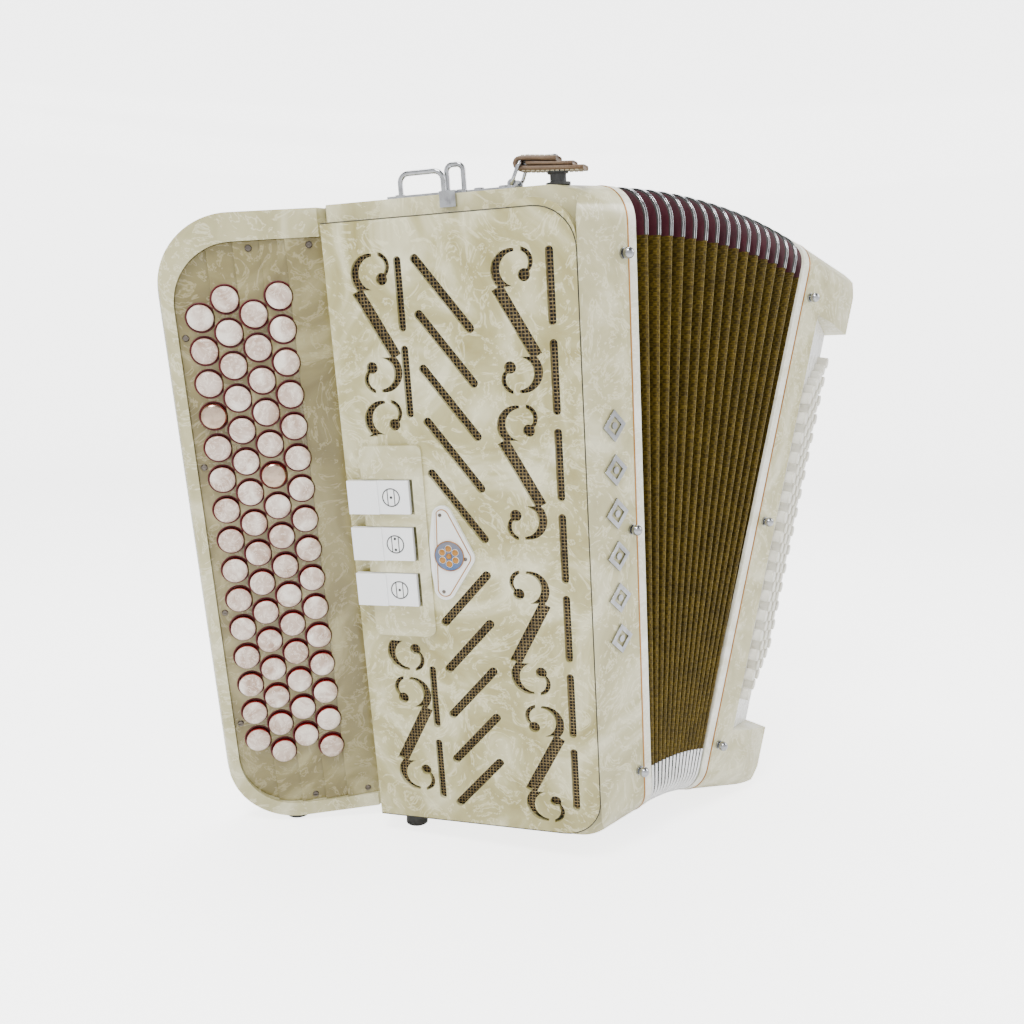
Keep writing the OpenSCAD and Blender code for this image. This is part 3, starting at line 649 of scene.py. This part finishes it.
def build_buttons():
    """Each row is one piece; local X of a button points into the board."""
    into_board = np.array([[0, 1, 0], [1, 0, 0], [0, 0, 1]], float)
    for r, row in enumerate("dcba"):
        count = ROW_COUNTS[row]
        low = BOX_H / 2 - (count - 1) * BUTTON_PITCH / 2
        depth = 13.2 - ROW_STEP * r
        points, faces, kinds = button_points(depth)
        turned = points @ into_board.T
        marked_parts, parts = Parts(), Parts()
        for k in range(count):
            spin = random.uniform(0, 2 * math.pi)
            c, s = math.cos(spin), math.sin(spin)
            p = turned @ np.array([[c, 0, s], [0, 1, 0], [-s, 0, c]]).T
            p = p + np.array([-ROW_GAP * r, ROW_STEP * r, low + k * BUTTON_PITCH])
            target = marked_parts if MARKED.get(row) == k else parts
            target.add(placed(BOARD, p), [f[::-1] for f in faces], kinds)
            if MARKED.get(row) == k:
                centre = np.array([-ROW_GAP * r, ROW_STEP * r, low + k * BUTTON_PITCH])
                add_glitter(marked_parts, centre)
        body = f"treble_row_{row}"
        o = parts.make(f"button_row_{row}", [BUTTON_TOP, BUTTON_SIDE], body, slot="button")
        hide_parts(f"treble_buttons_{row}")
        if marked_parts.count:
            o = marked_parts.make(f"marked_button_{row}", [BUTTON_MARK, BUTTON_SIDE], body, slot="mark")
            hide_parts(f"reference_button_{row}")


REFLECTION_RING_DEPTHS = (5.0, 7.1, 9.1, 11.2)


def build_red_reflection_rings():
    """Red rings in the board around the buttons, which pass through them; their red is painted reflection and
    shade of the buttons' red sides.
    """
    profile = [(0.3, 8.8), (-0.25, 8.75), (-0.5, 8.4), (-0.45, 8.0), (-0.2, 7.72), (0.3, 7.7)]
    points, faces = lathe(profile, 36, caps=False)
    turned = points @ np.array([[0, 1, 0], [1, 0, 0], [0, 0, 1]], float)
    parts = Parts()
    for r, row in enumerate("dcba"):
        count = ROW_COUNTS[row]
        low = BOX_H / 2 - (count - 1) * BUTTON_PITCH / 2
        for k in range(count):
            centre = np.array([-ROW_GAP * r, REFLECTION_RING_DEPTHS[r], low + k * BUTTON_PITCH])
            parts.add(placed(BOARD, turned + centre), [f[::-1] for f in faces])
    parts.make("reflection_rings", [RED_REFLECTION_AND_SHADE], "treble_box", slot="button")


def add_glitter(parts, centre):
    """Small facets set over the top of a marked button."""
    for _ in range(60):
        r = 5.4 * math.sqrt(random.random())
        a = random.uniform(0, 2 * math.pi)
        size = random.uniform(0.35, 0.6)
        y = 0.02 + 0.42 * (r / 5.9) ** 3
        base = centre + np.array([r * math.cos(a), y, r * math.sin(a)])
        tilt = random.uniform(0, math.pi)
        ring_points = [base + size * np.array([math.cos(tilt + t), 0, math.sin(tilt + t)])
                       for t in (0, 1.57, 3.14, 4.71)]
        tip = base + np.array([0, -0.28, 0])
        parts.add(placed(BOARD, ring_points + [tip]),
                  [(0, 1, 4), (1, 2, 4), (2, 3, 4), (3, 0, 4)], 0)


# ---------- bass buttons ----------
def build_bass_buttons():
    """Round-tipped buttons, one piece to a row."""
    profile = [(-6, 3.95), (8.2, 3.95), (8.3, 3.7), (8.45, 3.72), (9.3, 3.98), (9.75, 3.75), (10.02, 3.2),
               (10.18, 2.2), (10.22, 0.01)]
    points, faces = lathe(profile, 22)
    for r in range(1, 7):
        parts = Parts()
        for k in range(BASS_COLUMNS):
            y = FIRST_BASS_ROW[0] + (r - 1) * BASS_ROW_GAP
            z = FIRST_BASS_ROW[1] + (r - 1) * BASS_PITCH / 2 + k * BASS_PITCH
            parts.add(placed(BASS_BOARD, points + np.array([0, y, z])), faces)
        o = parts.make(f"bass_button_row_{r}", [BASS_BUTTON], f"bass_row_{r}", slot="white_board")
        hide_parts(f"bass_buttons_{r}")


# ---------- woven wire behind the grille ----------
WIRE_PITCH = 2.0
WIRE_R = 0.34


MESH_X = (-137.0, -11.0)
MESH_Z = (17.0, 355.0)
MESH_Y = 3.05
WEAVE = 0.3
BLOCK_X = (-130.5, -95.5)
BLOCK_Z = (136.5, 239.5)
CLOTH_Y = 3.85


def clear_of_block(x, z):
    """Whether a place on the mesh lies outside the register block."""
    return not (BLOCK_X[0] < x < BLOCK_X[1] and BLOCK_Z[0] < z < BLOCK_Z[1])


def build_wire_mesh():
    """Woven wire, left open around the register block."""
    x0, z0 = MESH_X[0], MESH_Z[0]
    columns = int((MESH_X[1] - x0) / WIRE_PITCH)
    rows = int((MESH_Z[1] - z0) / WIRE_PITCH)
    parts = Parts()

    def wire(points):
        if len(points) > 2:
            parts.wire(GRILLE, points, WIRE_R, 4)

    for upright in (True, False):
        for i in range(columns if upright else rows):
            run = []
            for j in range(rows if upright else columns):
                c, r = (i, j) if upright else (j, i)
                x, z = x0 + c * WIRE_PITCH, z0 + r * WIRE_PITCH
                if not clear_of_block(x, z):
                    wire(run)
                    run = []
                    continue
                up = 1 if ((c + r) % 2 == 0) == upright else -1
                run.append((x, MESH_Y - up * WEAVE, z))
            wire(run)
    o = parts.make("grille_weave", [WIRE], "treble_box", slot="mesh")
    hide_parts("grille_mesh")


def build_backing_cloth():
    """Dark, slightly uneven cloth behind the wire."""
    backing = Parts()
    xs = np.linspace(*MESH_X, 22)
    zs = np.linspace(*MESH_Z, 60)
    points = [(x, CLOTH_Y + 0.1 * math.sin(0.3 * x) * math.cos(0.21 * z), z) for z in zs for x in xs]
    faces = []
    for f in grid_faces(len(zs), len(xs)):
        cx = np.mean([points[i][0] for i in f])
        cz = np.mean([points[i][2] for i in f])
        if clear_of_block(cx, cz):
            faces.append(f)
    backing.add(placed(GRILLE, points), faces)
    backing.make("grille_backing_cloth", [DARK_CLOTH_AND_SHADE], "treble_box", slot="mesh")


# ---------- register marks and emblem ----------
SIGN_R = 5.2
SIGN_LINE = 0.34
SIGN_X = -114.2
SIGN_FACE = -5.42
LOWEST_SWITCH_Z = 150.4
SWITCH_PITCH = 28.0
SWITCH_H = 19.8
EMBLEM_DISC = (-82.6, 181.0)
EMBLEM_LOBES = ((-85.3, 204.6, 6.2, 150, 26), (-74, 180, 6.6, 26, -34), (-87, 160.5, 6.6, -34, -172))
EMBLEM_SCREWS = ((-86.6, 205.2), (-73, 179.2), (-87.8, 159))
PETALS = 6
PETAL_RING = 4.6


def flat_bar(parts, matrix, x0, x1, y0, y1, z0, z1, kind=0):
    """Small bar with chamfered front edges, y0 towards the viewer."""
    c = min(x1 - x0, z1 - z0) * 0.25
    points = [(x0, y1, z0), (x1, y1, z0), (x1, y1, z1), (x0, y1, z1),
              (x0, y0 + c, z0), (x1, y0 + c, z0), (x1, y0 + c, z1), (x0, y0 + c, z1),
              (x0 + c, y0, z0 + c), (x1 - c, y0, z0 + c), (x1 - c, y0, z1 - c), (x0 + c, y0, z1 - c)]
    faces = [(3, 2, 1, 0), (8, 9, 10, 11)]
    for a in (0, 4):
        for i in range(4):
            j = (i + 1) % 4
            faces.append((a + i, a + j, a + 4 + j, a + 4 + i))
    parts.add(placed(matrix, points), faces, kind)


def arc_path(x, y, z, radius, angles):
    """Points of an arc in an upright plane, angles in radians."""
    return [(x + radius * math.cos(a), y, z + radius * math.sin(a)) for a in angles]


def circle_path(x, y, z, radius, steps=40):
    """Points of a full circle in an upright plane."""
    return arc_path(x, y, z, radius, [2 * math.pi * i / steps for i in range(steps)])


def domed_disc(parts, matrix, x, y, z, radius, height, kind=0, segments=28):
    """Low dome standing out of a face that looks along -Y."""
    profile = [(0, radius), (height * 0.55, radius * 0.96), (height * 0.9, radius * 0.75),
               (height, radius * 0.35), (height * 1.02, 0.01)]
    points, faces = lathe(profile, segments)
    turned = points @ np.array([[0, -1, 0], [1, 0, 0], [0, 0, 1]], float)
    parts.add(placed(matrix, turned + np.array([x, y, z])), faces, kind)


def build_switch_marks():
    """Black register signs: a ring, two bars and dots."""
    centre_x, y = SIGN_X, SIGN_FACE
    for number, k, body in ((1, 2, "register_switch_high"), (2, 1, "register_switch_mid"),
                            (3, 0, "register_switch_low")):
        z = LOWEST_SWITCH_Z + k * SWITCH_PITCH + SWITCH_H / 2
        parts = Parts()
        parts.wire(GRILLE, circle_path(centre_x, y, z, SIGN_R), SIGN_LINE, 8, closed=True)
        for s in (-1, 1):
            x = centre_x + s * 2.1
            flat_bar(parts, GRILLE, x - 0.32, x + 0.32, y - 0.12, y + 0.3, z - 4.7, z + 4.7)
        for dz in ((-3.3, 3.3) if k == 1 else (0,)):
            domed_disc(parts, GRILLE, centre_x, y + 0.05, z + dz, 0.85, 0.25)
        parts.make(f"register_sign_{number}", [BLACK], body, slot="rubber_black")


def emblem_outline(inset):
    """Rounded triangle of the emblem, drawn in by inset; lobes hold (x, z, radius, first, last)."""
    points = []
    for x, z, r, first, last in EMBLEM_LOBES:
        for a in np.linspace(first, last, 9):
            points.append((x + (r - inset) * math.cos(math.radians(a)),
                           z + (r - inset) * math.sin(math.radians(a))))
    return points


def build_grille_seam():
    """Dark joint line around the removable grille."""
    left, right, low, high, radius = -143.6, -0.4, 6.4, 369.6, 23.0
    path = [(left, 0.1, low)]
    path += [(x, 0.1, low) for x in np.linspace(left + 6, right - radius - 4, 12)]
    path += arc_path(right - radius, 0.1, low + radius, radius, np.radians(np.linspace(-90, 0, 10)))
    path += [(right, 0.1, z) for z in np.linspace(low + radius + 8, high - radius - 8, 20)]
    path += arc_path(right - radius, 0.1, high - radius, radius, np.radians(np.linspace(0, 90, 10)))
    path += [(x, 0.1, high) for x in np.linspace(right - radius - 4, left, 12)]
    parts = Parts()
    parts.wire(GRILLE, path, 0.3, 6)
    parts.make("grille_seam", [DARK_CLOTH_AND_SHADE], "treble_box", slot="rubber_black")


def build_emblem():
    """White enamel plate's trim: gold line, boss with plain petals, screws."""
    parts = Parts()
    gold, enamel, blue, steel = range(4)
    line = [(x, -1.85, z) for x, z in emblem_outline(2.3)]
    parts.wire(GRILLE, line, 0.32, 8, gold, closed=True)
    rim = [(x, -1.75, z) for x, z in emblem_outline(0.5)]
    parts.wire(GRILLE, rim, 0.55, 10, enamel, closed=True)
    disc_x, disc_z = EMBLEM_DISC
    domed_disc(parts, GRILLE, disc_x, -2.35, disc_z, 8.8, 0.35, blue, 40)
    parts.wire(GRILLE, circle_path(disc_x, -2.4, disc_z, 8.9, 48), 0.3, 8, gold, closed=True)
    for i in range(PETALS):
        a = math.radians(360 / PETALS * i + 90)
        x = disc_x - PETAL_RING * math.cos(a)
        z = disc_z + PETAL_RING * math.sin(a)
        domed_disc(parts, GRILLE, x, -2.7, z, 2.0, 0.7, gold, 20)
    domed_disc(parts, GRILLE, disc_x, -2.6, disc_z, 1.7, 0.9, gold, 20)
    for x, z in EMBLEM_SCREWS:
        domed_disc(parts, GRILLE, x, -1.75, z, 1.15, 0.55, steel, 16)
    parts.make("emblem_detail", [GOLD, ENAMEL, BLUE, DARK_STEEL], "treble_box", slot="emblem_face")


# ---------- straps ----------
def ribbon(path, width, thickness, across, crown=0.25, closed_ends=True):
    """Strap of leather along a path, with rounded edges. across is its width direction."""
    path = np.asarray(path, float)
    across = np.asarray(across, float)
    half = width / 2
    t = thickness / 2
    top = t + crown * t
    edge = half - t * 0.5
    section = [(-half, 0), (-edge, t * 0.85), (-half * 0.6, top),
               (0, top), (half * 0.6, top), (edge, t * 0.85),
               (half, 0), (edge, -t * 0.85), (half * 0.6, -t),
               (0, -t), (-half * 0.6, -t), (-edge, -t * 0.85)]
    rows = []
    n = len(path)
    for i in range(n):
        along = path[min(i + 1, n - 1)] - path[max(i - 1, 0)]
        along /= np.linalg.norm(along)
        up = np.cross(along, across)
        up /= np.linalg.norm(up)
        rows.append([path[i] + across * u + up * v for u, v in section])
    points = np.array(rows).reshape(-1, 3)
    m = len(section)
    faces = grid_faces(n, m, wrap=True)
    if closed_ends:
        faces.append(tuple(range(m)))
        faces.append(tuple(range((n - 1) * m, n * m))[::-1])
    return points, faces


def stitches(parts, matrix, path, across, offset, lift, pitch, kind):
    """Row of short thread stitches beside the edge of a strap."""
    path = np.asarray(path, float)
    across = np.asarray(across, float)
    lengths = np.concatenate([[0], np.cumsum(np.linalg.norm(np.diff(path, axis=0), axis=1))])
    place = pitch
    while place < lengths[-1] - pitch:
        ends = []
        for q in (place - pitch * 0.32, place, place + pitch * 0.32):
            p = np.array([np.interp(q, lengths, path[:, a]) for a in range(3)])
            ahead = np.array([np.interp(q + 0.5, lengths, path[:, a]) for a in range(3)])
            along = (ahead - p) / np.linalg.norm(ahead - p)
            up = np.cross(along, across)
            ends.append(p + across * offset + up * (lift + (0.16 if q == place else -0.1)))
        parts.wire(matrix, ends, 0.32, 6, kind)
        place += pitch


def build_hand_strap():
    """Broad leather strap for the left hand, bowed over its gap."""
    radius = 458.25
    centre_x = BASS_THICK + 22 - 460
    y = Y_BACK - 45
    reach = 140.0
    path = []
    for z in np.linspace(-reach, reach, 56):
        path.append((centre_x + math.sqrt(radius ** 2 - z * z), y, BOX_H / 2 + z))
    across = (0, 1, 0)
    parts = Parts()
    p, f = ribbon(path, 49.6, 3.4, across, crown=0.12)
    parts.add(placed(BASS, p), f, 0)
    # softer inner pad, a little narrower
    inner = [(x - 2.3, yy, z) for x, yy, z in path[8:-8]]
    p, f = ribbon(inner, 40, 1.6, across, crown=0.2)
    parts.add(placed(BASS, p), f, 2)
    for offset in (-22.5, 22.5):
        stitches(parts, BASS, path, across, offset, 1.75, 5.0, 1)
    # end pads with their screws, on the box wall
    for low, high in ((40, 62), (BOX_H - 62, BOX_H - 40)):
        pad = [(BASS_THICK + 1.5, y, z) for z in np.linspace(low, high, 8)]
        p, f = ribbon(pad, 49.8, 2.8, across, crown=0.1)
        parts.add(placed(BASS, p), f, 0)
        for dy in (-14, 14):
            prof = [(0, 3.4), (0.6, 3.3), (1.0, 2.4), (1.1, 0.01)]
            q, g = lathe(prof, 20)
            parts.add(placed(BASS, q + np.array([BASS_THICK + 2.7, y + dy, (low + high) / 2])), g, 3)
    o = parts.make("hand_strap_leather", [BROWN, THREAD, RUBBER, CHROME], "bass_box", slot="leather_brown")
    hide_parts("hand_strap")


def build_bellows_strap():
    """Short strap that closes the bellows: folded leather on a ring, with its snap."""
    matrix = GRILLE @ shift(*STRAP_RING)
    parts = Parts()
    ring_path = [(0, -7.6, 0), (0, 7.6, 0), (1.8, 9.2, 2.4),
                 (4.4, 8.6, 8.6), (5.4, 7.6, 9.9), (5.4, -7.6, 9.9),
                 (4.4, -8.6, 8.6), (1.8, -9.2, 2.4)]
    smooth_ring = []
    for i in range(len(ring_path)):
        a, b = np.array(ring_path[i]), np.array(ring_path[(i + 1) % len(ring_path)])
        smooth_ring += [a * (1 - t) + b * t for t in np.linspace(0, 1, 6)[:-1]]
    parts.wire(matrix, smooth_ring, 1.0, 10, 1, closed=True)
    across = (0, 1, 0)
    path = [(38.6, 0, 5.2), (30, 0, 5.7), (20, 0, 6.3), (11, 0, 7.0), (5.6, 0, 7.5)]
    for a in np.linspace(-90, -270, 9):
        path.append((4.9 + 2.45 * math.cos(math.radians(a)) - 0.4, 0, 9.9 + 2.45 * math.sin(math.radians(a))))
    path += [(9, 0, 12.3), (16, 0, 11.6), (24.5, 0, 10.6)]
    p, f = ribbon(path, 14, 2.4, across, crown=0.2)
    parts.add(placed(matrix, p), f, 0)
    upper = [(8, 0, 9.7), (14, 0, 9.2), (24, 0, 8.3), (33, 0, 7.7)]
    p, f = ribbon(upper, 13.4, 1.9, across, crown=0.2)
    parts.add(placed(matrix, p), f, 0)
    for offset in (-5.6, 5.6):
        stitches(parts, matrix, path[::-1][:4] + path[::-1][12:], across, offset, -1.35, 2.6, 2)
    profile = [(-2.2, 5.4), (-1.6, 5.6), (0.9, 5.5), (1.4, 5.0), (1.6, 0.01)]
    q, g = lathe(profile, 28)
    stand = q @ np.array([[0, 0, 1], [0, 1, 0], [-1, 0, 0]], float)
    parts.add(placed(matrix, stand + np.array([23.6, 0, 5.6])), g, 3)
    cap = [(0, 3.6), (0.5, 3.5), (1.0, 2.6), (1.2, 0.01)]
    q, g = lathe(cap, 24)
    stand = q @ np.array([[0, 0, 1], [0, 1, 0], [-1, 0, 0]], float)
    parts.add(placed(matrix, stand + np.array([20.5, 0, 12.3])), g, 1)
    o = parts.make("bellows_strap_leather", [BROWN, CHROME, THREAD, RUBBER], "bellows_strap_body",
                   slot="leather_brown")
    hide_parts("bellows_strap")


# ---------- room, lights, camera ----------
WORLD_LIGHT = 0.4
FLOOR_GLOW = 3.4
FLOOR_BOUNCE = 0.32
FLOOR_GAP = 0.0005
CAMERA_PLACE = (-0.43092, -0.44443, 0.30804)


def build_stage():
    """A round floor that sweeps up into a wall, so that no horizon shows."""
    profile = [(0.01, 0), (1.2, 0), (1.8, 0.0), (2.1, 0.03), (2.4, 0.14), (2.62, 0.34), (2.75, 0.62),
               (2.8, 1.0), (2.8, 2.6)]
    segments = 64
    angles = [2 * math.pi * i / segments for i in range(segments)]
    points = [(r * math.cos(a), r * math.sin(a), z - FLOOR_GAP) for r, z in profile for a in angles]
    floor = piece("studio_floor", points, grid_faces(len(profile), segments, wrap=True), [FLOOR], None)
    glow = FLOOR.node_tree.nodes["Principled BSDF"]
    glow.inputs["Emission Color"].default_value = (1, 1, 1, 1)
    # the paper glows white to the eye but sends little light back to the instrument
    seen = add(FLOOR.node_tree, "ShaderNodeLightPath")
    glow_share = spread(FLOOR.node_tree, seen.outputs["Is Camera Ray"], FLOOR_BOUNCE, FLOOR_GLOW)
    FLOOR.node_tree.links.new(glow_share, glow.inputs["Emission Strength"])
    world = bpy.data.worlds.new("studio")
    bpy.context.scene.world = world
    world.use_nodes = True
    background = world.node_tree.nodes["Background"]
    background.inputs["Color"].default_value = (1, 1, 1, 1)
    background.inputs["Strength"].default_value = WORLD_LIGHT


def area_light(name, place, target, size, power):
    """Rectangular lamp in metres and watts, turned to its target."""
    light = bpy.data.lights.new(name, "AREA")
    light.shape = "RECTANGLE"
    light.size = size[0]
    light.size_y = size[1]
    light.energy = power
    o = bpy.data.objects.new(name, light)
    o.location = place
    o.rotation_euler = (Vector(target) - Vector(place)).to_track_quat("-Z", "Y").to_euler()
    bpy.context.scene.collection.objects.link(o)


def build_lights():
    """Key from the front left, rim from the right, fill from above."""
    area_light("key_light", (-0.9, -0.5, 1.7), (-0.05, 0, 0.2), (0.6, 0.5), 30)
    area_light("rim_light", (1.3, -0.9, 1.1), (0.1, 0, 0.2), (0.4, 1.0), 12)
    area_light("top_light", (0.1, 0.4, 1.9), (0, 0, 0.2), (1.0, 0.8), 30)


def build_camera():
    """The photograph's viewing angle."""
    cam = bpy.data.cameras.new("photo_camera")
    cam.sensor_width = 36.0
    cam.lens = 32.88
    forward = Vector((0.66101, 0.73044, -0.17180))
    up = Vector((0.10276, 0.13868, 0.98500))
    right = forward.cross(up).normalized()
    up = right.cross(forward)
    o = bpy.data.objects.new("photo_camera", cam)
    facing = Matrix((right, up, -forward)).transposed().to_4x4()
    o.matrix_world = Matrix.Translation(CAMERA_PLACE) @ facing
    bpy.context.scene.collection.objects.link(o)
    bpy.context.scene.camera = o


dress_frame()
build_bellows()
build_buttons()
build_red_reflection_rings()
build_bass_buttons()
build_wire_mesh()
build_backing_cloth()
build_switch_marks()
build_emblem()
build_grille_seam()
build_hand_strap()
build_bellows_strap()
build_stage()
build_lights()
build_camera()
